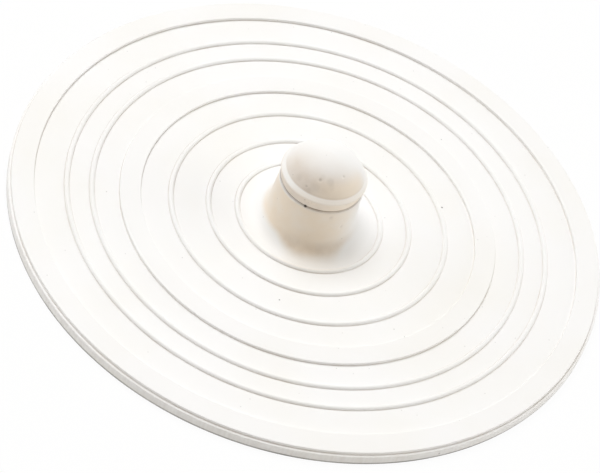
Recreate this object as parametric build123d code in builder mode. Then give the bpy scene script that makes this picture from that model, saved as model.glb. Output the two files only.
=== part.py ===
"""Flat rubber drain stopper: a ringed sealing disc with a moulded stem, and a push-in knob cap.

Millimetres, +Z up. The origin is the centre of the disc's flat underside, which rests on the drain.
"""
import os

from build123d import *

# Disc
disc_diameter = 127.0
field_thickness = 2.35
base_edge_round = 0.4

# Raised border and the narrow ledge outside it
border_width = 4.7
border_rise = 0.7
border_edge_round = 0.15
ledge_width = 0.6
ledge_drop = 0.7
ledge_edge_round = 0.2

# Raised band halfway out
band_diameter = 76.2
band_width = 4.4
band_rise = 0.65
band_edge_round = 0.15

# Round-topped ribs: three between the stem and the band, two between the band and the border
rib_width = 1.0
rib_height = 0.6
inner_rib_shares = (0.08, 0.355, 0.712)
outer_rib_shares = (0.324, 0.617)

# Stem: a drafted wall on a wide foot, with a small lip that leans in up to its rim
stem_height = 13.35
stem_foot_diameter = 19.2
stem_neck_diameter = 17.7
stem_foot_round = 4.0
lip_diameter = 18.05
lip_height = 0.8
lip_slope = 0.33
lip_lower_round = 0.1
lip_upper_round = 0.15

# Knob cap: neck, shoulder bead with an upright foot and a slope above it, and dome
neck_diameter = 17.4
neck_length = 2.05
neck_edge_round = 0.35
bead_diameter = 18.3
bead_height = 1.3
bead_wall = 0.4
bead_lower_round = 0.2
bead_upper_round = 0.45
dome_diameter = 16.6
dome_height = 5.25

# Shank under the cap and the socket it is pushed into
shank_diameter = 10.0
shank_length = 7.0
shank_tip_chamfer = 0.8
catch_width = 1.6
catch_height = 0.5
catch_setback = 2.2
socket_clearance = 0.05
socket_end_gap = 0.3
socket_mouth_chamfer = 0.6

# Places worked out from the sizes above
disc_radius = disc_diameter / 2
border_outer_radius = disc_radius - ledge_width
border_inner_radius = border_outer_radius - border_width
border_top = field_thickness + border_rise
ledge_top = border_top - ledge_drop
band_inner_radius = (band_diameter - band_width) / 2
band_outer_radius = (band_diameter + band_width) / 2
band_top = field_thickness + band_rise
stem_foot_radius = stem_foot_diameter / 2
stem_neck_radius = stem_neck_diameter / 2
lip_radius = lip_diameter / 2
lip_rim_radius = lip_radius - lip_slope
lip_base = stem_height - lip_height
foot_edge_radius = stem_foot_radius + stem_foot_round
neck_radius = neck_diameter / 2
bead_radius = bead_diameter / 2
bead_base = stem_height + neck_length
bead_slope_base = bead_base + bead_wall
shoulder_top = bead_base + bead_height
dome_base_radius = dome_diameter / 2
knob_top = shoulder_top + dome_height
shank_radius = shank_diameter / 2
shank_end = stem_height - shank_length
socket_radius = shank_radius + socket_clearance
socket_floor = shank_end - socket_end_gap
catch_centre = shank_end + catch_setback


def rib_radii(start, end, shares):
    """Radii of the ribs that lie at the given shares of the way from start to end."""
    return [start + share * (end - start) for share in shares]


ribs = rib_radii(foot_edge_radius, band_inner_radius, inner_rib_shares)
ribs += rib_radii(band_outer_radius, border_inner_radius, outer_rib_shares)

# Radius and centre height of the arc that gives a rib its width and height above the field
rib_arc_radius = (rib_width**2 / 4 + rib_height**2) / (2 * rib_height)
rib_arc_height = field_thickness + rib_height - rib_arc_radius

# The catch is the same arc, standing out from the shank
catch_arc_radius = (catch_width**2 / 4 + catch_height**2) / (2 * catch_height)
catch_arc_offset = shank_radius + catch_height - catch_arc_radius

os.makedirs("parts", exist_ok=True)


with BuildPart() as sealing_disc:
    # Half section of the plate and the stem, turned about the axis
    with BuildSketch(Plane.XZ) as disc_section:
        with BuildLine():
            Polyline(
                (0, 0),
                (disc_radius, 0),
                (disc_radius, ledge_top),
                (border_outer_radius, ledge_top),
                (border_outer_radius, border_top),
                (border_inner_radius, border_top),
                (border_inner_radius, field_thickness),
                (stem_foot_radius, field_thickness),
                (stem_neck_radius, lip_base),
                (lip_radius, lip_base),
                (lip_rim_radius, stem_height),
                (0, stem_height),
                close=True,
            )
        make_face()
        for corner, radius in (
            ((disc_radius, 0), base_edge_round),
            ((disc_radius, ledge_top), ledge_edge_round),
            ((border_outer_radius, border_top), border_edge_round),
            ((border_inner_radius, border_top), border_edge_round),
            ((stem_foot_radius, field_thickness), stem_foot_round),
            ((lip_radius, lip_base), lip_lower_round),
            ((lip_rim_radius, stem_height), lip_upper_round),
        ):
            fillet(vertices().sort_by_distance(corner)[0], radius)
    revolve(axis=Axis.Z)

    # Raised band
    with BuildSketch(Plane.XZ) as band_section:
        with BuildLine():
            Polyline(
                (band_inner_radius, 0),
                (band_outer_radius, 0),
                (band_outer_radius, band_top),
                (band_inner_radius, band_top),
                close=True,
            )
        make_face()
        fillet(vertices().group_by(Axis.Y)[-1], band_edge_round)
    revolve(axis=Axis.Z)

    # Ribs
    with BuildSketch(Plane.XZ) as rib_sections:
        with Locations(*[(radius, rib_arc_height) for radius in ribs]):
            Circle(rib_arc_radius)
    revolve(axis=Axis.Z)

    # Socket for the shank, with the groove that its catch snaps into
    with BuildSketch(Plane.XZ) as socket_section:
        with BuildLine():
            Polyline(
                (0, socket_floor),
                (socket_radius, socket_floor),
                (socket_radius, stem_height - socket_mouth_chamfer),
                (socket_radius + socket_mouth_chamfer, stem_height),
                (0, stem_height),
                close=True,
            )
        make_face()
        with Locations((catch_arc_offset, catch_centre)):
            Circle(catch_arc_radius + socket_clearance)
    revolve(axis=Axis.Z, mode=Mode.SUBTRACT)

sealing_disc.part.label = "sealing_disc"
export_step(sealing_disc.part, "parts/sealing_disc.step")


with BuildPart() as knob_cap:
    # Half section from the shank's tip up to the dome, turned about the axis
    with BuildSketch(Plane.XZ) as cap_section:
        with BuildLine():
            Polyline(
                (0, knob_top),
                (0, shank_end),
                (shank_radius - shank_tip_chamfer, shank_end),
                (shank_radius, shank_end + shank_tip_chamfer),
                (shank_radius, stem_height),
                (neck_radius, stem_height),
                (neck_radius, bead_base),
                (bead_radius, bead_base),
                (bead_radius, bead_slope_base),
                (dome_base_radius, shoulder_top),
            )
            TangentArc((0, knob_top), (dome_base_radius, shoulder_top), tangent=(1, 0))
        make_face()
        for corner, radius in (
            ((neck_radius, stem_height), neck_edge_round),
            ((bead_radius, bead_base), bead_lower_round),
            ((bead_radius, bead_slope_base), bead_upper_round),
        ):
            fillet(vertices().sort_by_distance(corner)[0], radius)
    revolve(axis=Axis.Z)

    # Catch that snaps into the socket's groove
    with BuildSketch(Plane.XZ) as catch_section:
        with Locations((catch_arc_offset, catch_centre)):
            Circle(catch_arc_radius)
    revolve(axis=Axis.Z)

knob_cap.part.label = "knob_cap"
export_step(knob_cap.part, "parts/knob_cap.step")
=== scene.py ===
"""Looks of a flat white rubber drain stopper, laid out as a Blender add-on and run as a script.

The stopper is a ringed disc with a stem moulded in its middle, and a domed cap pushed into the stem.
Lengths are in metres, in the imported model's frame: +Z up, the disc's underside on the floor at zero.
"""
import math

import bmesh
import bpy
from bpy.props import FloatProperty, FloatVectorProperty, PointerProperty
from mathutils import Matrix, Vector, noise
from mathutils.bvhtree import BVHTree


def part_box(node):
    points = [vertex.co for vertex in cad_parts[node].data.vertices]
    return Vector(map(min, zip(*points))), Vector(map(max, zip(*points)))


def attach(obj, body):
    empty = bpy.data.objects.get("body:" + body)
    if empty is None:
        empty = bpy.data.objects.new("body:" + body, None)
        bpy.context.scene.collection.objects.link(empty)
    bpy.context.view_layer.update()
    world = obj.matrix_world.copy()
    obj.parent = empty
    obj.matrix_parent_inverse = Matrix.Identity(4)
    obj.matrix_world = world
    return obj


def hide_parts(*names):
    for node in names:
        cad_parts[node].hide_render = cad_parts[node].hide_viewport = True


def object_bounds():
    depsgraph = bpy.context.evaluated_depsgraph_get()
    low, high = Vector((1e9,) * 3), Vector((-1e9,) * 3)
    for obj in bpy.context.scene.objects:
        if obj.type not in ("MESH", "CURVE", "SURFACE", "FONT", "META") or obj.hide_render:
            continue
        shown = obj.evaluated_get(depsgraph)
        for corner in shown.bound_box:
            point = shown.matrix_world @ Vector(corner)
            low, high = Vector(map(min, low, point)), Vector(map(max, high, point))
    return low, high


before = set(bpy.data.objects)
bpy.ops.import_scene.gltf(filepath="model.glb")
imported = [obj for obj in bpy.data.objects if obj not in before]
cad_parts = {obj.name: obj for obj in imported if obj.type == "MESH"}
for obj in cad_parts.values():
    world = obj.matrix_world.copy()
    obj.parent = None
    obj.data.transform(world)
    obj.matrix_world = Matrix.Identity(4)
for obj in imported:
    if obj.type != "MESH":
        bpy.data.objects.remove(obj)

bl_info = {
    "name": "Drain Stopper",
    "version": (1, 0, 0),
    "blender": (4, 5, 0),
    "location": "View3D > Sidebar > Stopper",
    "description": "Models a white rubber drain stopper and its studio stage",
    "category": "Add Mesh",
}

CAD_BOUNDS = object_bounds()
DISC_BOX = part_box("sealing_disc")
CAP_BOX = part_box("knob_cap")

MM = 0.001
MICRON = 0.000001

# Facets round the axis, and the steps that long runs of a section are cut to
TURN_STEPS = 256
WALL_STEP = 0.35 * MM
FLAT_STEP = 1.4 * MM
# A point this close to each end of a run keeps the shading of its flat clear of the rounded corner
GUARD = 0.05 * MM
WELD = 2 * MICRON
CREASE_ANGLE = math.radians(35.0)
# Width of the line at the foot of a ring: partly dirt, and partly painted shade in the crease
CREASE_DIRT_AND_SHADE = 0.35 * MM
# Azimuths that the tints turn to, set to give the tone that the object shows. The stem is tinted beige,
# most round the front. The dome is greyer low round the front, partly a stain and partly painted shade,
# lighter and yellower further right, partly a tint and partly painted light, and lowest on the front darker
# still, partly dirt and partly painted shade.
STEM_TINT_AZIMUTH = math.radians(-108.0)
DOME_SHADE_AZIMUTH = math.radians(-97.0)
DOME_LOW_SHADE_AZIMUTH = math.radians(-107.0)
DOME_RIGHT_TINT_AZIMUTH = math.radians(-50.0)
# The stem's foot is darker on the front, partly dirt and partly painted shade. On the front a painted shadow
# lies in the crease over the bead, and at the back the creases of the rings hold painted shade.
FOOT_DIRT_AND_SHADE_AZIMUTH = math.radians(-75.0)
SHOULDER_SHADOW_AZIMUTH = math.radians(-70.0)
BACK_SHADE_AZIMUTH = math.radians(160.0)
# The lip is painted whiter on one side, a painted highlight, and the bead beige on another, a painted shade
LIP_HIGHLIGHT_AZIMUTH = math.radians(-175.0)
BEAD_SHADE_AZIMUTH = math.radians(-65.0)
# The neck of the cap is darkest a little further left than the stem's tint: partly dirt, partly painted shade
NECK_DIRT_AND_SHADE_AZIMUTH = STEM_TINT_AZIMUTH - math.radians(25.0)
# The side where the lower edge is darkened by a painted contact shadow
CONTACT_SHADOW_AZIMUTH = math.radians(-95.0)

COLOUR_MIX = {"data_type": "RGBA"}
SMOOTH = {"interpolation_type": "SMOOTHSTEP"}
MULTIPLY = {"operation": "MULTIPLY"}
LARGER = {"operation": "MAXIMUM"}
WHITE = (1.0, 1.0, 1.0, 1.0)

# Shares of the way out at which the ribs lie, as on the moulding tool
INNER_RIB_SHARES = (0.08, 0.355, 0.712)
OUTER_RIB_SHARES = (0.324, 0.617)

# Pits in the rubber: degrees round from +X, height over the plate and width in millimetres, and share of dirt
STEM_PITS = ((-61, 9.4, 0.9, 0.1), (-41, 6.2, 0.8, 0.1), (-83, 4.0, 0.4, 0.06), (-128, 6.4, 0.4, 0.06),
             (34, 7.2, 0.6, 0.12), (152, 4.9, 0.5, 0.12))
CAP_PITS = ((-93, 17.1, 0.8, 0.22), (-109, 15.2, 0.6, 0.2), (-44, 17.8, 0.6, 0.12), (-103, 12.5, 0.35, 0.3),
            (-97, 12.3, 0.25, 0.2), (-93, 12.5, 0.3, 0.16), (58, 16.6, 0.6, 0.2), (131, 17.5, 0.5, 0.2))
# Smudges on the dome, given as the pits are
CAP_SMUDGES = ((-73, 17.2, 1.9, 0.1), (-90, 17.6, 1.4, 0.05), (-95, 15.8, 2.2, 0.07), (-70, 16.4, 1.7, 0.06),
               (-127, 15.6, 1.8, 0.05), (-104, 14.9, 1.4, 0.07))
# Specks in the plate's upper face: places and widths in millimetres, and share of dirt
PLATE_SPECKS = ((26.0, 16.0, 0.5, 0.8), (0.0, -25.5, 0.4, 0.7), (26.5, -23.5, 0.4, 0.3),
                (24.0, -22.5, 0.35, 0.35), (21.5, 36.0, 0.35, 0.4), (-41.0, -13.0, 0.35, 0.3),
                (-57.0, -20.0, 0.4, 0.2), (-44.0, -32.5, 0.3, 0.2), (-20.0, 1.0, 0.3, 0.3),
                (-21.5, -23.5, 0.3, 0.3), (29.5, -53.5, 0.35, 0.3), (41.5, -20.0, 0.35, 0.3),
                (-33.0, 38.5, 0.3, 0.2), (9.5, 47.0, 0.3, 0.2))
# A nick in the wall of the rim, as for the pits, and a crumb of dirt caught in the seam
RIM_NICK = (-51, -1.1, 0.6, 0.35)
CRUMB_AZIMUTH = math.radians(-99.5)
CRUMB_WIDTH = 0.8 * MM
PIT_DEPTH_SHARE = 0.14
# How far a pit reaches from its middle, as a share of its width
PIT_REACH_SHARE = 0.75
# Distance over which the plate's upper face swells and sinks
SWELL_LENGTH = 17.0 * MM

# Sizes of the patterns. A bead-blasted tool leaves a grain of about 0.05 mm, which is too fine to show here,
# so it is drawn at 0.4 mm.
GRAIN_SIZE = 0.4 * MM
GRAIN_DEPTH = 12 * MICRON
SHEEN_PATCH = 9.0 * MM
AGED_PATCH = 24.0 * MM
SPECK_SPACING = 2.5 * MM
FLASH_STROKE = 0.6 * MM
CONTACT_SHADOW_PATCH = 14.0 * MM
BROAD_BLOTCH = 3.5 * MM
SMALL_BLOTCH = 2.5 * MM
NECK_BLOTCH = 2.0 * MM
SHOULDER_BLOTCH = 3.0 * MM
SEAM_BLOTCH = 4.0 * MM
RING_BLOTCH = 6.0 * MM
PAPER_FIBRE = 1.5 * MM

# Softboxes, given as azimuth from +X and elevation over the floor, both as angles
KEY_PLACE = (math.radians(134.0), math.radians(67.0))
LEFT_PLACE = (math.radians(178.0), math.radians(25.0))
RIGHT_PLACE = (math.radians(14.0), math.radians(22.0))
SOFTBOX_DISTANCE = 1.5
SOFTBOX_SIZE = 1.0
FLOOR_REACH = 3.0
FLOOR_DROP = 0.01 * MM
# Share of the plain white that the camera sees in the paper, the rest being the paper's own shading
PAPER_WHITE_SHARE = 0.95
PAPER_COLOURS = ("#FBFBFA", "#EFEFEE")
# The camera's sensor, in millimetres as the camera's settings have it
SENSOR_WIDTH = 36.0


def length(name, description, size):
    """A length that a user may change, with its default in metres."""
    return FloatProperty(
        name=name, description=description, default=size, min=0.0, precision=5,
        subtype="DISTANCE", unit="LENGTH",
    )


def linear(hex_colour):
    """The linear value of an sRGB colour written as #RRGGBB."""
    shares = [int(hex_colour[i:i + 2], 16) / 255 for i in (1, 3, 5)]
    return tuple(s / 12.92 if s <= 0.04045 else ((s + 0.055) / 1.055) ** 2.4 for s in shares)


def colour(name, description, hex_colour):
    """A colour that a user may change, with its default as an sRGB hex value."""
    return FloatVectorProperty(
        name=name, description=description, default=linear(hex_colour), min=0.0, max=1.0, size=3,
        subtype="COLOR",
    )


class StopperDiscSizes(bpy.types.PropertyGroup):
    """Sizes of the disc and its stem."""

    radius: length("Radius", "From the axis to the outer edge", DISC_BOX[1].x)
    field: length("Field", "Thickness of the plate between the rings", 2.35 * MM)
    base_round: length("Base round", "Rounding of the lower edge", 0.4 * MM)
    border_width: length("Border width", "Width of the raised border", 4.7 * MM)
    border_rise: length("Border rise", "Height of the border over the field", 0.7 * MM)
    border_round: length("Border round", "Rounding of the border's upper edges", 0.15 * MM)
    ledge_width: length("Ledge width", "Width of the step outside the border", 0.6 * MM)
    ledge_drop: length("Ledge drop", "Depth of the step under the border's top", 0.7 * MM)
    ledge_round: length("Ledge round", "Rounding of the step's edge", 0.2 * MM)
    band_radius: length("Band radius", "From the axis to the middle of the raised band", 38.1 * MM)
    band_width: length("Band width", "Width of the raised band", 4.4 * MM)
    band_rise: length("Band rise", "Height of the band over the field", 0.65 * MM)
    band_round: length("Band round", "Rounding of the band's edges", 0.15 * MM)
    rib_width: length("Rib width", "Width of a rib at its foot", 1.0 * MM)
    rib_height: length("Rib height", "Height of a rib over the field", 0.6 * MM)
    stem_top: length("Stem top", "Height of the stem's rim", DISC_BOX[1].z)
    stem_foot_radius: length("Stem foot radius", "Radius of the stem at the field", 9.6 * MM)
    stem_neck_radius: length("Stem neck radius", "Radius of the stem under its lip", 8.85 * MM)
    stem_foot_round: length("Stem foot round", "Fillet between the stem and the field", 4.0 * MM)
    lip_radius: length("Lip radius", "Radius of the lip round the stem's rim", 9.025 * MM)
    lip_height: length("Lip height", "Height of the lip", 0.8 * MM)
    lip_slope: length("Lip slope", "How far the lip leans in up to its rim", 0.33 * MM)
    lip_lower_round: length("Lip lower round", "Rounding under the lip", 0.1 * MM)
    lip_upper_round: length("Lip upper round", "Rounding of the lip's upper edge", 0.15 * MM)
    socket_radius: length("Socket radius", "Radius of the hole for the shank", 5.05 * MM)
    socket_floor: length("Socket floor", "Height of the bottom of the hole", 6.05 * MM)
    socket_mouth: length("Socket mouth", "Chamfer of the hole's mouth", 0.6 * MM)
    unevenness: length("Unevenness", "How far the plate's upper face swells and sinks", 0.04 * MM)


class StopperCapSizes(bpy.types.PropertyGroup):
    """Sizes of the domed cap."""

    top: length("Top", "Height of the dome's crown", CAP_BOX[1].z)
    shank_end: length("Shank end", "Height of the shank's tip", CAP_BOX[0].z)
    shank_radius: length("Shank radius", "Radius of the shank in the stem", 5.0 * MM)
    shank_chamfer: length("Shank chamfer", "Chamfer of the shank's tip", 0.8 * MM)
    neck_radius: length("Neck radius", "Radius of the neck over the seam", 8.7 * MM)
    neck_length: length("Neck length", "Height of the neck", 2.05 * MM)
    neck_round: length("Neck round", "Rounding of the neck's lower edge", 0.35 * MM)
    bead_radius: length("Bead radius", "Radius of the bead under the dome", CAP_BOX[1].x)
    bead_height: length("Bead height", "Height of the bead", 1.3 * MM)
    bead_wall: length("Bead wall", "Upright part of the bead, below its slope", 0.4 * MM)
    bead_lower_round: length("Bead lower round", "Rounding under the bead", 0.2 * MM)
    bead_upper_round: length("Bead upper round", "Rounding where the bead's slope starts", 0.45 * MM)
    dome_radius: length("Dome radius", "Radius of the dome where it meets the bead", 8.3 * MM)


class StopperColours(bpy.types.PropertyGroup):
    """Colours of the rubber."""

    clean: colour("Clean", "Clean white rubber", "#FBFBFB")
    aged: colour("Aged", "Patches that have yellowed a little", "#F9F8F5")
    # Beige of the stem and the neck; on the bead it is painted shade, low on the dome's right partly painted
    # light
    beige_stain_and_shading: colour("Handled", "Rubber that fingers have stained", "#F9ECDA")
    # Greyer rubber low on the dome's front and on the neck's left: partly a stain, partly painted shade
    grey_stain_and_shade: colour("Thumbed", "The dome where thumbs have greyed it", "#E9DFD4")
    # Also painted as shade: in the rings' creases, at the stem's front foot, low on the dome and over the
    # bead
    grime_and_shade: colour("Grime", "What has settled in the creases", "#A98F72")
    seam: colour("Seam", "Dirt in the seam under the cap", "#7A5430")
    # Also painted as shade in the creases at the back, and as a contact shadow along the lower edge
    speck_and_shade: colour("Speck", "Dark specks in the rubber, and its darkest dirt", "#3A322B")


class StopperStageSettings(bpy.types.PropertyGroup):
    """Camera, light and floor."""

    camera_elevation: FloatProperty(
        name="Camera elevation", description="How far the camera looks down",
        default=math.radians(45.176), subtype="ANGLE", unit="ROTATION",
    )
    camera_roll: FloatProperty(
        name="Camera roll", description="Tilt of the picture",
        default=math.radians(19.573), subtype="ANGLE", unit="ROTATION",
    )
    camera_distance: FloatProperty(
        name="Camera distance", description="From the camera to the point that it aims at",
        default=639.5 * MM, subtype="DISTANCE", unit="LENGTH",
    )
    camera_aim: FloatProperty(
        name="Camera aim", description="Height on the axis that the camera is placed from",
        default=2.8 * MM, subtype="DISTANCE", unit="LENGTH",
    )
    camera_aside: FloatProperty(
        name="Camera aside", description="How far the camera stands to the side",
        default=-1.994 * MM, subtype="DISTANCE", unit="LENGTH",
    )
    camera_rise: FloatProperty(
        name="Camera rise", description="How far the camera stands up",
        default=-4.494 * MM, subtype="DISTANCE", unit="LENGTH",
    )
    lens: FloatProperty(
        name="Lens", description="Focal length in millimetres on a 36 mm sensor", default=183.8, min=1.0,
    )
    air_level: FloatProperty(
        name="Air level", description="Share of the light that comes from all round",
        default=0.36, min=0.0,
    )
    key_level: FloatProperty(
        name="Key level", description="Share of the light from the high softbox behind",
        default=0.59, min=0.0,
    )
    left_level: FloatProperty(
        name="Left level", description="Share of the light from the low softbox on the left",
        default=0.055, min=0.0,
    )
    right_level: FloatProperty(
        name="Right level", description="Share of the light from the low softbox on the right",
        default=0.10, min=0.0,
    )
    air_colour: colour("Air colour", "Light that the room gives back", "#FFF7EC")
    softbox_colour: colour("Softbox colour", "Daylight of the softboxes", "#FBFDFF")


def ring_feet(sizes):
    """Radii at which the rings meet the flat of the plate."""
    border_outer = sizes.radius - sizes.ledge_width
    feet = [border_outer, border_outer - sizes.border_width]
    feet += [sizes.band_radius - sizes.band_width / 2, sizes.band_radius + sizes.band_width / 2]
    for radius in rib_radii(sizes):
        feet += [radius - sizes.rib_width / 2, radius + sizes.rib_width / 2]
    return feet


def rib_radii(sizes):
    """Radii of the ribs, from the outermost in."""
    foot = sizes.stem_foot_radius + sizes.stem_foot_round
    band_inner = sizes.band_radius - sizes.band_width / 2
    band_outer = sizes.band_radius + sizes.band_width / 2
    border_inner = sizes.radius - sizes.ledge_width - sizes.border_width
    inner = [foot + share * (band_inner - foot) for share in INNER_RIB_SHARES]
    outer = [band_outer + share * (border_inner - band_outer) for share in OUTER_RIB_SHARES]
    return sorted(inner + outer, reverse=True)


class HalfSection:
    """Half section of a turned piece in the XZ plane, drawn from point to point and then spun about Z."""

    def __init__(self, radius, height):
        self.mesh = bmesh.new()
        self.tip = self.mesh.verts.new((radius, 0.0, height))
        self.corners = []

    def line(self, radius, height, rounding=0.0, segments=5):
        """Runs straight to a corner, which is rounded later if a rounding is given."""
        self.tip = bmesh.ops.extrude_vert_indiv(self.mesh, verts=[self.tip])["verts"][0]
        self.tip.co = (radius, 0.0, height)
        if rounding > 0.0:
            self.corners.append((self.tip, rounding, segments))

    def swell(self, radius, height, rise, steps):
        """Runs in an arc that stands out from its chord by rise."""
        start = self.tip.co.copy()
        chord = Vector((radius, 0.0, height)) - start
        half = chord.length / 2
        arc_radius = (half**2 + rise**2) / (2 * rise)
        out = Vector((chord.z, 0.0, -chord.x)).normalized()
        centre = start + chord / 2 - out * (arc_radius - rise)
        sweep = 4 * math.atan(rise / half)
        turned = bmesh.ops.spin(
            self.mesh, geom=[self.tip], cent=centre, axis=(0.0, 1.0, 0.0), angle=-sweep, steps=steps
        )
        self.tip = turned["geom_last"][0]

    def round_corners(self):
        """Rounds each marked corner to its radius."""
        for corner, rounding, segments in self.corners:
            sides = [edge.other_vert(corner).co - corner.co for edge in corner.link_edges]
            turn = math.pi - sides[0].angle(sides[1])
            bmesh.ops.bevel(
                self.mesh, geom=[corner], offset=rounding * math.tan(turn / 2), offset_type="OFFSET",
                segments=segments, profile=0.5, affect="VERTICES", material=-1,
            )

    def divide_runs(self):
        """Cuts the long runs, with a guard point near each end."""
        for edge in self.mesh.edges[:]:
            run = edge.calc_length()
            if run < 4 * GUARD:
                continue
            first, last = edge.verts
            level = abs(first.co.z - last.co.z) < abs(first.co.x - last.co.x)
            near_first = bmesh.utils.edge_split(edge, first, GUARD / run)[1]
            rest = next(e for e in near_first.link_edges if last in e.verts)
            near_last = bmesh.utils.edge_split(rest, last, GUARD / (run - GUARD))[1]
            middle = next(e for e in near_first.link_edges if near_last in e.verts)
            cuts = int(run / (FLAT_STEP if level else WALL_STEP))
            bmesh.ops.subdivide_edges(self.mesh, edges=[middle], cuts=cuts)

    def turned(self):
        """Spins the finished section through a quarter and repeats that into a closed skin."""
        self.round_corners()
        self.divide_runs()
        about = {"cent": (0.0, 0.0, 0.0), "axis": (0.0, 0.0, 1.0)}
        line = self.mesh.verts[:] + self.mesh.edges[:]
        bmesh.ops.spin(self.mesh, geom=line, angle=math.tau / 4, steps=TURN_STEPS // 4, **about)
        quarter = self.mesh.verts[:] + self.mesh.edges[:] + self.mesh.faces[:]
        bmesh.ops.spin(self.mesh, geom=quarter, angle=math.tau * 3 / 4, steps=3, use_duplicate=True, **about)
        bmesh.ops.remove_doubles(self.mesh, verts=self.mesh.verts, dist=WELD)
        bmesh.ops.recalc_face_normals(self.mesh, faces=self.mesh.faces)
        return self.mesh


def disc_skin(sizes):
    """The disc from the middle of its underside, out round the rim, in over the rings and down the socket."""
    border_outer = sizes.radius - sizes.ledge_width
    border_inner = border_outer - sizes.border_width
    border_top = sizes.field + sizes.border_rise
    band_outer = sizes.band_radius + sizes.band_width / 2
    band_inner = sizes.band_radius - sizes.band_width / 2
    band_top = sizes.field + sizes.band_rise
    lip_base = sizes.stem_top - sizes.lip_height
    ribs = rib_radii(sizes)

    section = HalfSection(0.0, 0.0)
    section.line(sizes.radius, 0.0, sizes.base_round)
    section.line(sizes.radius, border_top - sizes.ledge_drop, sizes.ledge_round)
    section.line(border_outer, border_top - sizes.ledge_drop)
    section.line(border_outer, border_top, sizes.border_round)
    section.line(border_inner, border_top, sizes.border_round)
    section.line(border_inner, sizes.field)
    for radius in ribs:
        if radius < band_inner < section.tip.co.x:
            section.line(band_outer, sizes.field)
            section.line(band_outer, band_top, sizes.band_round)
            section.line(band_inner, band_top, sizes.band_round)
            section.line(band_inner, sizes.field)
        section.line(radius + sizes.rib_width / 2, sizes.field)
        section.swell(radius - sizes.rib_width / 2, sizes.field, sizes.rib_height, steps=12)
    section.line(sizes.stem_foot_radius, sizes.field, sizes.stem_foot_round, segments=18)
    section.line(sizes.stem_neck_radius, lip_base)
    section.line(sizes.lip_radius, lip_base, sizes.lip_lower_round)
    section.line(sizes.lip_radius - sizes.lip_slope, sizes.stem_top, sizes.lip_upper_round)
    section.line(sizes.socket_radius + sizes.socket_mouth, sizes.stem_top)
    section.line(sizes.socket_radius, sizes.stem_top - sizes.socket_mouth)
    section.line(sizes.socket_radius, sizes.socket_floor)
    section.line(0.0, sizes.socket_floor)
    return section.turned()


def tangent_rise(along, across):
    """How far an arc stands out from its chord if it sets off straight along the first length."""
    return math.hypot(along, across) / 2 * math.tan(math.atan2(across, along) / 2)


def cap_skin(sizes, stem_top):
    """The cap from the tip of its shank, out round the neck and bead, and up over the dome."""
    bead_base = stem_top + sizes.neck_length
    slope_base = bead_base + sizes.bead_wall
    shoulder = bead_base + sizes.bead_height
    dome_rise = tangent_rise(sizes.dome_radius, sizes.top - shoulder)

    section = HalfSection(0.0, sizes.shank_end)
    section.line(sizes.shank_radius - sizes.shank_chamfer, sizes.shank_end)
    section.line(sizes.shank_radius, sizes.shank_end + sizes.shank_chamfer)
    section.line(sizes.shank_radius, stem_top)
    section.line(sizes.neck_radius, stem_top, sizes.neck_round, segments=6)
    section.line(sizes.neck_radius, bead_base)
    section.line(sizes.bead_radius, bead_base, sizes.bead_lower_round)
    section.line(sizes.bead_radius, slope_base, sizes.bead_upper_round)
    section.line(sizes.dome_radius, shoulder)
    section.swell(0.0, sizes.top, dome_rise, steps=44)
    return section.turned()


def on_skin(skin, azimuth, height):
    """Where a level line towards the axis meets the skin, and which way the skin faces there."""
    out = Vector((math.cos(math.radians(azimuth)), math.sin(math.radians(azimuth)), 0.0))
    start = out * CAD_BOUNDS[1].x * 2 + Vector((0.0, 0.0, height))
    place, normal, _, _ = skin.ray_cast(start, -out)
    return place, normal


def place_marks(mesh, listed, field, depth_share=0.0):
    """Finds marks on the skin and gives their places, widths and dirt.

    Where they have depth, they are pressed in.
    """
    skin = BVHTree.FromBMesh(mesh)
    marks = []
    for azimuth, height, width, share in listed:
        place, normal = on_skin(skin, azimuth, field + height * MM)
        marks.append((place, width * MM, share))
        for vert in mesh.verts if depth_share else ():
            near = 1 - ((vert.co - place).length / (width * MM * PIT_REACH_SHARE))**2
            if near > 0:
                vert.co -= normal * near**2 * width * MM * depth_share
    return marks


def seam_crumb(disc):
    """Place, width and share of the dirt caught between the lip and the cap's neck."""
    radius = disc.lip_radius - disc.lip_slope
    place = (math.cos(CRUMB_AZIMUTH) * radius, math.sin(CRUMB_AZIMUTH) * radius, disc.stem_top)
    return Vector(place), CRUMB_WIDTH, 1.0


def settle_plate(mesh, sizes):
    """Lets the plate's upper face swell and sink a little, as moulded rubber does when it cools."""
    foot = sizes.stem_foot_radius + sizes.stem_foot_round
    for vert in mesh.verts:
        out = Vector((vert.co.x, vert.co.y)).length
        share = min(1.0, vert.co.z / sizes.field) * min(1.0, max(0.0, (out - foot) / foot))
        vert.co.z += share * sizes.unevenness * noise.noise(vert.co / SWELL_LENGTH)


def finish_piece(mesh, name, node, material):
    """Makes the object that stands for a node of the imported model, and lets it ride with the stopper."""
    for face in mesh.faces:
        face.smooth = True
    for edge in mesh.edges:
        edge.smooth = edge.calc_face_angle(0.0) < CREASE_ANGLE
    data = bpy.data.meshes.new(name)
    mesh.to_mesh(data)
    mesh.free()
    data.materials.append(material)
    piece = bpy.data.objects.new(name, data)
    bpy.context.scene.collection.objects.link(piece)
    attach(piece, "root")
    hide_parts(node)
    return piece


def add(tree, kind, options=None, inputs=None):
    """Adds a node with its settings, values and links, and returns its first output in use."""
    made = tree.nodes.new(kind)
    for name, value in (options or {}).items():
        setattr(made, name, value)
    for socket in made.inputs:
        value = (inputs or {}).get(socket.identifier)
        if isinstance(value, bpy.types.NodeSocket):
            tree.links.new(value, socket)
        elif value is not None:
            socket.default_value = value
    return next((output for output in made.outputs if output.enabled), None)


def opaque(shade):
    """A colour with full alpha, for a socket."""
    return (*shade, 1.0)


def start_material(name):
    """An empty material tree and its Object coordinates."""
    material = bpy.data.materials.new(name)
    material.use_nodes = True
    tree = material.node_tree
    tree.nodes.clear()
    coordinates = tree.nodes.new("ShaderNodeTexCoord")
    return material, tree, coordinates.outputs["Object"]


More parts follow.
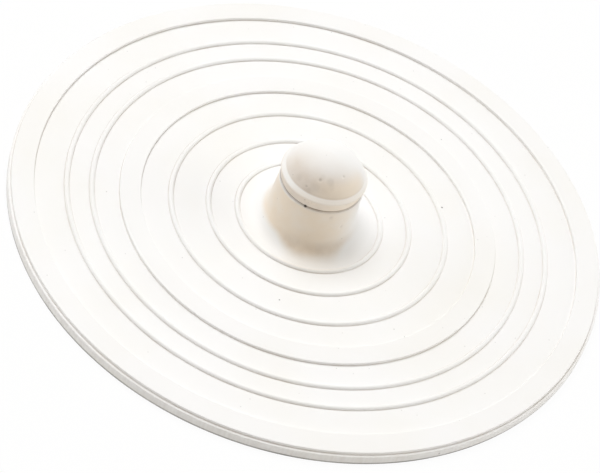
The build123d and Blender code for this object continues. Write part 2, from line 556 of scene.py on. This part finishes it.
def finish_rubber(tree, place, shade):
    """The shader that all of the rubber shares: a fine matte grain, and a broad soft sheen."""
    grain = add(tree, "ShaderNodeTexNoise", inputs={"Vector": place, "Scale": 1 / GRAIN_SIZE, "Detail": 3.0})
    relief = add(tree, "ShaderNodeBump", inputs={"Strength": 0.25, "Distance": GRAIN_DEPTH, "Height": grain})
    patches = add(
        tree, "ShaderNodeTexNoise", inputs={"Vector": place, "Scale": 1 / SHEEN_PATCH, "Detail": 2.0}
    )
    roughness = add(
        tree, "ShaderNodeMapRange",
        inputs={"Value": patches, "From Min": 0.3, "From Max": 0.7, "To Min": 0.5, "To Max": 0.62},
    )
    surface = add(
        tree, "ShaderNodeBsdfPrincipled",
        inputs={"Base Color": shade, "Roughness": roughness, "IOR": 1.52, "Normal": relief},
    )
    add(tree, "ShaderNodeOutputMaterial", inputs={"Surface": surface})


def mottled(tree, place, colours):
    """Clean rubber that has yellowed a little in broad soft patches."""
    patches = add(
        tree, "ShaderNodeTexNoise", inputs={"Vector": place, "Scale": 1 / AGED_PATCH, "Detail": 4.0}
    )
    share = add(tree, "ShaderNodeMapRange", inputs={"Value": patches, "From Min": 0.42, "From Max": 0.72})
    return add(
        tree, "ShaderNodeMix", COLOUR_MIX,
        {"Factor_Float": share, "A_Color": opaque(colours.clean), "B_Color": opaque(colours.aged)},
    )


def uneven(tree, place, size, low, high):
    """A share that comes and goes from place to place between two values."""
    blotches = add(tree, "ShaderNodeTexNoise", inputs={"Vector": place, "Scale": 1 / size, "Detail": 5.0})
    return add(
        tree, "ShaderNodeMapRange",
        inputs={"Value": blotches, "From Min": 0.3, "From Max": 0.7, "To Min": low, "To Max": high},
    )


def stain(tree, below, over, *shares):
    """A colour with a stain over it, as strong as its shares multiplied."""
    total = shares[0]
    for share in shares[1:]:
        total = add(tree, "ShaderNodeMath", MULTIPLY, {"Value": total, "Value_001": share})
    return add(
        tree, "ShaderNodeMix", COLOUR_MIX, {"Factor_Float": total, "A_Color": below, "B_Color": opaque(over)}
    )


def marked(tree, place, below, marks, dirt):
    """A colour with the dirt that pits and specks hold."""
    for centre, width, share in marks:
        away = add(
            tree, "ShaderNodeVectorMath", {"operation": "DISTANCE"}, {"Vector": place, "Vector_001": centre}
        )
        near = add(
            tree, "ShaderNodeMapRange", SMOOTH,
            {"Value": away, "From Min": width * 0.6, "From Max": width * 0.15, "To Max": share},
        )
        below = stain(tree, below, dirt, near)
    return below


def filler_specks(tree, place, below, dirt):
    """A colour with the finest dark specks of the filler, few and faint."""
    cells = tree.nodes.new("ShaderNodeTexVoronoi")
    cells.inputs["Scale"].default_value = 1 / SPECK_SPACING
    tree.links.new(place, cells.inputs["Vector"])
    near = add(
        tree, "ShaderNodeMapRange", SMOOTH,
        {"Value": cells.outputs["Distance"], "From Min": 0.08, "From Max": 0.03, "To Max": 0.2},
    )
    picked = add(
        tree, "ShaderNodeMath", {"operation": "GREATER_THAN"},
        {"Value": cells.outputs["Color"], "Value_001": 0.55},
    )
    return stain(tree, below, dirt, near, picked)


def facing(tree, place, azimuth, start, full, least=0.0, most=1.0):
    """A share that grows round the axis towards an azimuth, between two cosines of the angle from it."""
    flat = add(tree, "ShaderNodeVectorMath", MULTIPLY, {"Vector": place, "Vector_001": (1.0, 1.0, 0.0)})
    outward = add(tree, "ShaderNodeVectorMath", {"operation": "NORMALIZE"}, {"Vector": flat})
    cosine = add(
        tree, "ShaderNodeVectorMath", {"operation": "DOT_PRODUCT"},
        {"Vector": outward, "Vector_001": (math.cos(azimuth), math.sin(azimuth), 0.0)},
    )
    return add(
        tree, "ShaderNodeMapRange", SMOOTH,
        {"Value": cosine, "From Min": start, "From Max": full, "To Min": least, "To Max": most},
    )


def from_axis(tree, place):
    """Distance from the axis, and height."""
    flat = add(tree, "ShaderNodeVectorMath", MULTIPLY, {"Vector": place, "Vector_001": (1.0, 1.0, 0.0)})
    out = add(tree, "ShaderNodeVectorMath", {"operation": "LENGTH"}, {"Vector": flat})
    parts = tree.nodes.new("ShaderNodeSeparateXYZ")
    tree.links.new(place, parts.inputs[0])
    return out, parts.outputs["Z"]


def on_stem(tree, place, out, height, sizes):
    """A share for the stem, which reaches furthest down its foot on the front, where dirt and painted shade
    lie.
    """
    low_side = facing(tree, place, FOOT_DIRT_AND_SHADE_AZIMUTH, 0.66, 0.98)
    lifted = add(
        tree, "ShaderNodeMath", {"operation": "MULTIPLY_ADD"},
        {"Value": low_side, "Value_001": 1.2 * MM, "Value_002": height},
    )
    up = add(
        tree, "ShaderNodeMapRange", SMOOTH,
        {"Value": lifted, "From Min": sizes.field + 0.8 * MM, "From Max": sizes.field + 2.2 * MM},
    )
    foot = sizes.stem_foot_radius + sizes.stem_foot_round
    inside = add(
        tree, "ShaderNodeMapRange", SMOOTH,
        {"Value": out, "From Min": foot + 3.5 * MM, "From Max": foot - 1.0 * MM},
    )
    return add(tree, "ShaderNodeMath", MULTIPLY, {"Value": up, "Value_001": inside})


def in_creases(tree, out, height, sizes):
    """A share for the thin lines along the feet of the rings, on the upper face only."""
    creases = 0.0
    for foot in ring_feet(sizes):
        near = add(
            tree, "ShaderNodeMath", {"operation": "COMPARE"},
            {"Value": out, "Value_001": foot, "Value_002": CREASE_DIRT_AND_SHADE / 2},
        )
        creases = add(tree, "ShaderNodeMath", LARGER, {"Value": creases, "Value_001": near})
    low = add(
        tree, "ShaderNodeMapRange", SMOOTH,
        {"Value": height, "From Min": sizes.field + 0.3 * MM, "From Max": sizes.field + 0.1 * MM},
    )
    upper = add(
        tree, "ShaderNodeMapRange", SMOOTH,
        {"Value": height, "From Min": sizes.field - 0.5 * MM, "From Max": sizes.field - 0.1 * MM},
    )
    on_face = add(tree, "ShaderNodeMath", MULTIPLY, {"Value": low, "Value_001": upper})
    return add(tree, "ShaderNodeMath", MULTIPLY, {"Value": creases, "Value_001": on_face})


def edge_wear_and_shadow(tree, place, below, out, height, colours, sizes):
    """The rim's wall: upright strokes where flash was cut off, and a painted contact shadow at its foot."""
    on_wall = add(
        tree, "ShaderNodeMapRange", SMOOTH,
        {"Value": out, "From Min": sizes.radius - 0.4 * MM, "From Max": sizes.radius - 0.2 * MM},
    )
    upright = add(tree, "ShaderNodeVectorMath", MULTIPLY, {"Vector": place, "Vector_001": (1.0, 1.0, 0.1)})
    worn = stain(tree, below, colours.grime_and_shade, on_wall, uneven(tree, upright, FLASH_STROKE, 0.0, 0.1))
    # Along its foot, strongest on one side, the wall holds a painted contact shadow
    low = add(
        tree, "ShaderNodeMapRange", SMOOTH,
        {"Value": height, "From Min": sizes.base_round * 2.0, "From Max": sizes.base_round * 0.9},
    )
    side = facing(tree, place, CONTACT_SHADOW_AZIMUTH, 0.0, 0.6)
    return stain(tree, worn, colours.speck_and_shade, low, on_wall, side, uneven(tree, place, CONTACT_SHADOW_PATCH, 0.4, 0.85))


def ringed_rubber(colours, sizes, marks):
    """White natural rubber, compression-moulded: opaque, matte and faintly warm.

    The stem is tinted beige, most round the front. Along the feet of the rings lies dirt with painted shade,
    the lip is painted whiter on one side, the lower edge holds a painted contact shadow, and there is dirt in
    the seam.
    """
    material, tree, place = start_material("white_moulded_rubber")
    out, height = from_axis(tree, place)
    shade = mottled(tree, place, colours)
    stem = on_stem(tree, place, out, height, sizes)
    stem_front = facing(tree, place, STEM_TINT_AZIMUTH, -0.35, 0.9, least=0.1)
    shade = stain(tree, shade, colours.beige_stain_and_shading, stem, stem_front, uneven(tree, place, BROAD_BLOTCH, 0.8, 1.1))
    # The stem's foot is darker on the front: partly dirt, partly painted shade
    low = add(
        tree, "ShaderNodeMapRange", SMOOTH,
        {"Value": height, "From Min": sizes.field + 3.2 * MM, "From Max": sizes.field + 1.2 * MM},
    )
    run = facing(tree, place, FOOT_DIRT_AND_SHADE_AZIMUTH, 0.3, 0.95)
    shade = stain(tree, shade, colours.grime_and_shade, stem, low, run, uneven(tree, place, SMALL_BLOTCH, 0.12, 0.28))

    # Lines along the feet of the rings: partly dirt, partly painted shade in the creases
    creases = in_creases(tree, out, height, sizes)
    shade = stain(tree, shade, colours.grime_and_shade, creases, uneven(tree, place, RING_BLOTCH, 0.1, 0.26))
    # At the back the creases are darker still: painted shade
    back = facing(tree, place, BACK_SHADE_AZIMUTH, 0.4, 1.0, most=0.1)
    shade = stain(tree, shade, colours.speck_and_shade, creases, back)
    shade = edge_wear_and_shadow(tree, place, shade, out, height, colours, sizes)

    top = add(
        tree, "ShaderNodeMapRange", SMOOTH,
        {"Value": height, "From Min": sizes.stem_top - 0.9 * MM, "From Max": sizes.stem_top - 0.1 * MM},
    )
    # The lip is painted whiter on one side: a painted highlight
    lit_lip = facing(tree, place, LIP_HIGHLIGHT_AZIMUTH, -0.3, 0.8, least=0.3, most=1.0)
    shade = stain(tree, shade, colours.clean, top, lit_lip)
    seam_radius = sizes.lip_radius - sizes.lip_slope
    inner = add(
        tree, "ShaderNodeMapRange", SMOOTH,
        {"Value": out, "From Min": seam_radius + 0.2 * MM, "From Max": seam_radius + 0.05 * MM},
    )
    shade = stain(tree, shade, colours.seam, top, inner, uneven(tree, place, SEAM_BLOTCH, 0.25, 0.55))
    shade = filler_specks(tree, place, shade, colours.speck_and_shade)
    finish_rubber(tree, place, marked(tree, place, shade, marks, colours.speck_and_shade))
    return material


def cap_rubber_and_shade(colours, sizes, stem_top, marks):
    """The same rubber on the cap: opaque and matte, beige on the neck, and whitest on the crown.

    Low round the front the dome is greyer, partly a stain and partly painted shade, and further right lighter
    and yellower, partly a tint and partly painted light. The bead is painted beige on one side as shade, the
    neck is darker on its left, partly dirt and partly painted shade, and a painted shadow lies over the bead
    in front.
    """
    material, tree, place = start_material("cap_rubber_with_painted_shade")
    out, height = from_axis(tree, place)
    front_grey = facing(tree, place, DOME_SHADE_AZIMUTH, -0.5, 1.0)
    bead_base = stem_top + sizes.neck_length
    shoulder = bead_base + sizes.bead_height
    shade = mottled(tree, place, colours)

    over_bead = add(
        tree, "ShaderNodeMapRange", SMOOTH,
        {"Value": out, "From Min": sizes.dome_radius + 0.3 * MM, "From Max": sizes.dome_radius - 0.1 * MM},
    )
    above = add(
        tree, "ShaderNodeMapRange", SMOOTH,
        {"Value": height, "From Min": shoulder - 0.25 * MM, "From Max": shoulder - 0.05 * MM},
    )
    under_dome = add(
        tree, "ShaderNodeMapRange", SMOOTH,
        {"Value": height, "From Min": shoulder + 0.35 * MM, "From Max": shoulder + 0.1 * MM},
    )
    at_shoulder = add(tree, "ShaderNodeMath", MULTIPLY, {"Value": above, "Value_001": under_dome})
    down = add(
        tree, "ShaderNodeMapRange",
        inputs={"Value": height, "From Min": sizes.top, "From Max": sizes.top - 3.0 * MM, "To Min": 0.12},
    )
    # Low round the front the dome is greyer: partly a stain, partly painted shade
    smudges = uneven(tree, place, BROAD_BLOTCH, 0.8, 1.1)
    shade = stain(tree, shade, colours.grey_stain_and_shade, over_bead, above, down, front_grey, smudges)
    lowest = add(
        tree, "ShaderNodeMapRange", SMOOTH,
        {"Value": height, "From Min": sizes.top - 1.2 * MM, "From Max": sizes.top - 3.8 * MM},
    )
    # Further right it is lighter and yellower: partly a tint, partly painted light
    dome_right = facing(tree, place, DOME_RIGHT_TINT_AZIMUTH, 0.45, 1.0, most=0.95)
    shade = stain(tree, shade, colours.beige_stain_and_shading, over_bead, above, lowest, dome_right)
    # Lowest on the front it is darker still: partly dirt, partly painted shade
    darkest = facing(tree, place, DOME_LOW_SHADE_AZIMUTH, 0.45, 1.0)
    smudges = uneven(tree, place, SMALL_BLOTCH, 0.04, 0.2)
    shade = stain(tree, shade, colours.grime_and_shade, over_bead, above, lowest, darkest, smudges)

    on_bead = add(
        tree, "ShaderNodeMapRange", SMOOTH,
        {"Value": out, "From Min": sizes.dome_radius, "From Max": sizes.dome_radius + 0.3 * MM},
    )
    # The bead is painted beige on one side: painted shade
    side = facing(tree, place, BEAD_SHADE_AZIMUTH, 0.2, 0.95, least=0.1, most=0.5)
    shade = stain(tree, shade, colours.beige_stain_and_shading, on_bead, side)
    neck = add(
        tree, "ShaderNodeMapRange", SMOOTH,
        {"Value": height, "From Min": bead_base + 0.7 * MM, "From Max": bead_base - 0.1 * MM},
    )
    shade = stain(tree, shade, colours.beige_stain_and_shading, neck, uneven(tree, place, SMALL_BLOTCH, 0.6, 0.9))
    # The neck is darker on its left: partly dirt, partly painted shade under the bead
    left = facing(tree, place, NECK_DIRT_AND_SHADE_AZIMUTH, 0.2, 0.95)
    shade = stain(tree, shade, colours.grey_stain_and_shade, neck, left, uneven(tree, place, NECK_BLOTCH, 0.3, 0.9))

    # A painted shadow in the crease over the bead, on the front
    valley = add(
        tree, "ShaderNodeMapRange", SMOOTH,
        {"Value": out, "From Min": sizes.dome_radius + 0.5 * MM, "From Max": sizes.dome_radius + 0.05 * MM},
    )
    front = facing(tree, place, SHOULDER_SHADOW_AZIMUTH, 0.3, 0.95, least=0.1)
    smudges = uneven(tree, place, SHOULDER_BLOTCH, 0.04, 0.2)
    shade = stain(tree, shade, colours.grime_and_shade, valley, at_shoulder, front, smudges)
    seam = add(
        tree, "ShaderNodeMapRange", SMOOTH,
        {"Value": height, "From Min": stem_top + 0.22 * MM, "From Max": stem_top + 0.08 * MM},
    )
    shade = stain(tree, shade, colours.seam, seam, uneven(tree, place, SEAM_BLOTCH, 0.25, 0.55))
    shade = filler_specks(tree, place, shade, colours.speck_and_shade)
    finish_rubber(tree, place, marked(tree, place, shade, marks, colours.speck_and_shade))
    return material


def seen_share(tree):
    """One for a ray that the camera, a glossy surface or glass sends, and nought for light on the object."""
    path = tree.nodes.new("ShaderNodeLightPath")
    share = path.outputs["Is Camera Ray"]
    for name in ("Is Glossy Ray", "Is Transmission Ray"):
        share = add(tree, "ShaderNodeMath", LARGER, {"Value": share, "Value_001": path.outputs[name]})
    return share


def sweep_paper():
    """White background paper with a faint shadow of the stopper.

    The camera and shiny surfaces see nearly all of it as a plain white that gives off its own light.
    """
    material, tree, place = start_material("white_sweep_paper")
    fibres = add(
        tree, "ShaderNodeTexNoise", inputs={"Vector": place, "Scale": 1 / PAPER_FIBRE, "Detail": 3.0}
    )
    share = add(tree, "ShaderNodeMapRange", inputs={"Value": fibres, "To Min": 0.0, "To Max": 0.02})
    bright, dull = (opaque(linear(hex_colour)) for hex_colour in PAPER_COLOURS)
    paper_colour = add(
        tree, "ShaderNodeMix", COLOUR_MIX, {"Factor_Float": share, "A_Color": bright, "B_Color": dull}
    )
    paper = add(tree, "ShaderNodeBsdfDiffuse", inputs={"Color": paper_colour})
    white = add(tree, "ShaderNodeEmission", inputs={"Color": WHITE, "Strength": 1.0})
    kept = add(
        tree, "ShaderNodeMath", MULTIPLY, {"Value": seen_share(tree), "Value_001": PAPER_WHITE_SHARE}
    )
    surface = add(tree, "ShaderNodeMixShader", inputs={"Fac": kept, "Shader": paper, "Shader_001": white})
    add(tree, "ShaderNodeOutputMaterial", inputs={"Surface": surface})
    return material


def lay_floor():
    """A wide plain floor under the stopper."""
    mesh = bmesh.new()
    bmesh.ops.create_grid(mesh, x_segments=1, y_segments=1, size=FLOOR_REACH)
    bmesh.ops.translate(mesh, verts=mesh.verts, vec=(0.0, 0.0, -FLOOR_DROP))
    data = bpy.data.meshes.new("studio_floor")
    mesh.to_mesh(data)
    mesh.free()
    data.materials.append(sweep_paper())
    floor = bpy.data.objects.new("studio_floor", data)
    bpy.context.scene.collection.objects.link(floor)


def set_air(settings):
    """Even light from all round, and plain white where the camera sees past the floor."""
    world = bpy.data.worlds.new("studio_air")
    bpy.context.scene.world = world
    world.use_nodes = True
    tree = world.node_tree
    tree.nodes.clear()
    fill = add(
        tree, "ShaderNodeBackground",
        inputs={"Color": opaque(settings.air_colour), "Strength": settings.air_level},
    )
    white = add(tree, "ShaderNodeBackground", inputs={"Color": WHITE, "Strength": 1.0})
    surface = add(
        tree, "ShaderNodeMixShader", inputs={"Fac": seen_share(tree), "Shader": fill, "Shader_001": white}
    )
    add(tree, "ShaderNodeOutputWorld", inputs={"Surface": surface})


def hang_softbox(name, shade, place, level):
    """A square softbox that gives a level surface that share of plain light."""
    azimuth, elevation = place
    toward = Vector((
        math.cos(azimuth) * math.cos(elevation), math.sin(azimuth) * math.cos(elevation), math.sin(elevation)
    ))
    lamp = bpy.data.lights.new(name, "AREA")
    lamp.shape = "SQUARE"
    lamp.size = SOFTBOX_SIZE
    lamp.color = shade
    lamp.energy = level * math.pi**2 * SOFTBOX_DISTANCE**2 / math.sin(elevation)
    softbox = bpy.data.objects.new(name, lamp)
    softbox.location = toward * SOFTBOX_DISTANCE
    softbox.rotation_euler = toward.to_track_quat("Z", "Y").to_euler()
    softbox.visible_camera = False
    bpy.context.scene.collection.objects.link(softbox)


def place_camera(settings):
    """The camera at the photograph's angle."""
    camera = bpy.data.objects.new("photo_camera", bpy.data.cameras.new("photo_camera"))
    camera.data.sensor_width = SENSOR_WIDTH
    camera.data.lens = settings.lens
    turned = Matrix.Rotation(math.pi / 2 - settings.camera_elevation, 4, "X")
    turned = turned @ Matrix.Rotation(settings.camera_roll, 4, "Z")
    away = turned @ Vector((settings.camera_aside, settings.camera_rise, settings.camera_distance))
    camera.matrix_world = Matrix.Translation(away + Vector((0.0, 0.0, settings.camera_aim))) @ turned
    bpy.context.scene.collection.objects.link(camera)
    bpy.context.scene.camera = camera


class STOPPER_OT_disc(bpy.types.Operator):
    """Model the ringed disc with the stem in its middle"""

    bl_idname = "stopper.disc"
    bl_label = "Ringed Disc"

    def execute(self, context):
        sizes = context.scene.stopper_disc
        mesh = disc_skin(sizes)
        settle_plate(mesh, sizes)
        marks = place_marks(mesh, (*STEM_PITS, RIM_NICK), sizes.field, PIT_DEPTH_SHARE)
        for x, y, width, share in PLATE_SPECKS:
            marks.append((Vector((x * MM, y * MM, sizes.field)), width * MM, share))
        marks.append(seam_crumb(sizes))
        rubber = ringed_rubber(context.scene.stopper_colours, sizes, marks)
        finish_piece(mesh, "ringed_disc", "sealing_disc", rubber)
        return {"FINISHED"}


class STOPPER_OT_cap(bpy.types.Operator):
    """Model the domed cap that is pushed into the stem"""

    bl_idname = "stopper.cap"
    bl_label = "Domed Cap"

    def execute(self, context):
        sizes = context.scene.stopper_cap
        disc = context.scene.stopper_disc
        mesh = cap_skin(sizes, disc.stem_top)
        marks = place_marks(mesh, CAP_SMUDGES, disc.field)
        marks += place_marks(mesh, CAP_PITS, disc.field, PIT_DEPTH_SHARE)
        marks.append(seam_crumb(disc))
        rubber = cap_rubber_and_shade(context.scene.stopper_colours, sizes, disc.stem_top, marks)
        finish_piece(mesh, "domed_cap", "knob_cap", rubber)
        return {"FINISHED"}


class STOPPER_OT_stage(bpy.types.Operator):
    """Set the floor, the lights and the camera"""

    bl_idname = "stopper.stage"
    bl_label = "Studio Stage"

    def execute(self, context):
        settings = context.scene.stopper_stage
        lay_floor()
        set_air(settings)
        shade = settings.softbox_colour
        hang_softbox("softbox_key", shade, KEY_PLACE, settings.key_level)
        hang_softbox("softbox_left", shade, LEFT_PLACE, settings.left_level)
        hang_softbox("softbox_right", shade, RIGHT_PLACE, settings.right_level)
        place_camera(settings)
        context.scene.view_settings.view_transform = "Standard"
        return {"FINISHED"}


class STOPPER_PT_panel(bpy.types.Panel):
    """Lists the stopper's pieces and its stage."""

    bl_label = "Drain Stopper"
    bl_idname = "STOPPER_PT_panel"
    bl_space_type = "VIEW_3D"
    bl_region_type = "UI"
    bl_category = "Stopper"

    def draw(self, context):
        layout = self.layout
        for operator in OPERATORS:
            layout.operator(operator.bl_idname)
        for group in GROUPS:
            settings = getattr(context.scene, group)
            box = layout.box()
            for name in settings.__annotations__:
                box.prop(settings, name)


OPERATORS = (STOPPER_OT_disc, STOPPER_OT_cap, STOPPER_OT_stage)
GROUPS = {
    "stopper_disc": StopperDiscSizes,
    "stopper_cap": StopperCapSizes,
    "stopper_colours": StopperColours,
    "stopper_stage": StopperStageSettings,
}


def register():
    for group, kind in GROUPS.items():
        bpy.utils.register_class(kind)
        setattr(bpy.types.Scene, group, PointerProperty(type=kind))
    for kind in (*OPERATORS, STOPPER_PT_panel):
        bpy.utils.register_class(kind)


def unregister():
    for kind in (STOPPER_PT_panel, *reversed(OPERATORS)):
        bpy.utils.unregister_class(kind)
    for group, kind in reversed(GROUPS.items()):
        delattr(bpy.types.Scene, group)
        bpy.utils.unregister_class(kind)


def main():
    """Registers the add-on, and makes every piece and the stage."""
    register()
    bpy.ops.stopper.disc()
    bpy.ops.stopper.cap()
    bpy.ops.stopper.stage()


if __name__ == "__main__":
    main()
